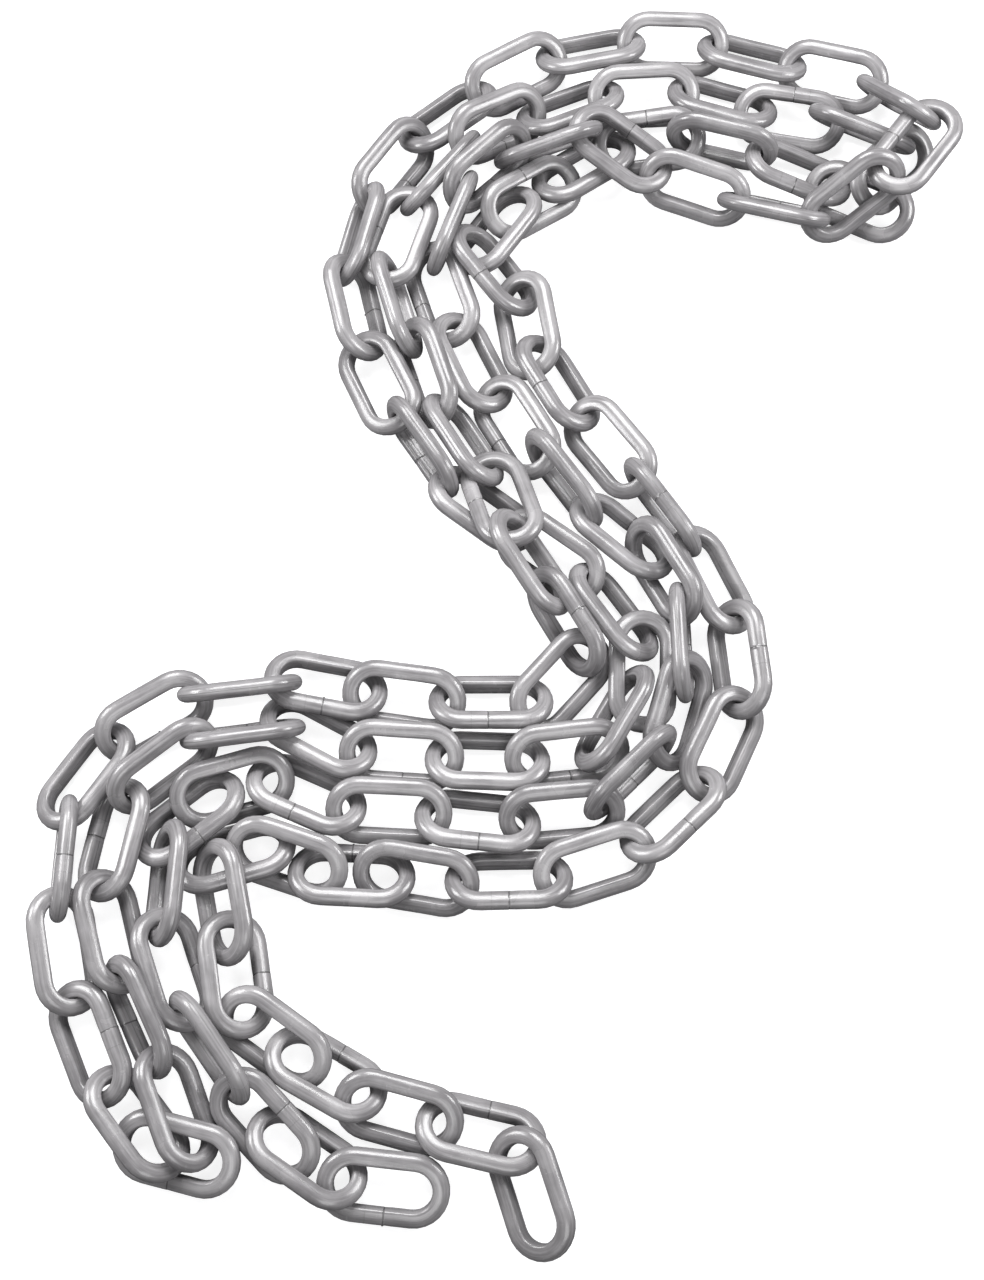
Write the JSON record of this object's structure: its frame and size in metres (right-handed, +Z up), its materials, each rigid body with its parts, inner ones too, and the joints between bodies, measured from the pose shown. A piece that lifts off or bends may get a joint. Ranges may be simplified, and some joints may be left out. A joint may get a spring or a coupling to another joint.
{
  "type": "heap of plastic chain",
  "caption": "Length of oval-link moulded plastic chain lying loose on the floor in an S of three close rows, with both ends free.",
  "frame": {"origin": "on the floor under the middle of the heap's box", "axes": "+Z up from the floor, +Y along the heap's length towards the far rows, +X to the right of the picture"},
  "size_m": [0.3947, 0.5496, 0.041],
  "materials": {
    "moulded_plastic": "satin as moulded"
  },
  "bodies": {
    "root": {"chain_links_001_002": "moulded_plastic", "chain_links_003_004": "moulded_plastic", "chain_links_005_006": "moulded_plastic", "chain_links_007_008": "moulded_plastic", "chain_links_009_010": "moulded_plastic", "chain_links_011_012": "moulded_plastic", "chain_links_013_014": "moulded_plastic", "chain_links_015_016": "moulded_plastic", "chain_links_017_018": "moulded_plastic", "chain_links_019_020": "moulded_plastic", "chain_links_021_022": "moulded_plastic", "chain_links_023_024": "moulded_plastic", "chain_links_025_026": "moulded_plastic", "chain_links_027_028": "moulded_plastic", "chain_links_029_030": "moulded_plastic", "chain_links_031_032": "moulded_plastic", "chain_links_033_034": "moulded_plastic", "chain_links_035_036": "moulded_plastic", "chain_links_037_038": "moulded_plastic", "chain_links_039_040": "moulded_plastic", "chain_links_041_042": "moulded_plastic", "chain_links_043_044": "moulded_plastic", "chain_links_045_046": "moulded_plastic", "chain_links_047_048": "moulded_plastic", "chain_links_049_050": "moulded_plastic", "chain_links_051_052": "moulded_plastic", "chain_links_053_054": "moulded_plastic", "chain_links_055_056": "moulded_plastic", "chain_links_057_058": "moulded_plastic", "chain_links_059_060": "moulded_plastic", "chain_links_061_062": "moulded_plastic", "chain_links_063_064": "moulded_plastic", "chain_links_065_066": "moulded_plastic", "chain_links_067_068": "moulded_plastic", "chain_links_069_070": "moulded_plastic", "chain_links_071_072": "moulded_plastic", "chain_links_073_074": "moulded_plastic", "chain_links_075_076": "moulded_plastic", "chain_links_077_078": "moulded_plastic", "chain_links_079_080": "moulded_plastic", "chain_links_081_082": "moulded_plastic", "chain_links_083_084": "moulded_plastic", "chain_links_085_086": "moulded_plastic", "chain_links_087_088": "moulded_plastic", "chain_links_089_090": "moulded_plastic", "chain_links_091_092": "moulded_plastic", "chain_links_093_094": "moulded_plastic", "chain_links_095_096": "moulded_plastic", "chain_links_097_098": "moulded_plastic", "chain_links_099_100": "moulded_plastic", "chain_links_101_102": "moulded_plastic", "chain_links_103_104": "moulded_plastic", "chain_links_105_106": "moulded_plastic", "chain_links_107_108": "moulded_plastic", "chain_links_109_110": "moulded_plastic", "chain_links_111_112": "moulded_plastic"}
  },
  "joints": []
}
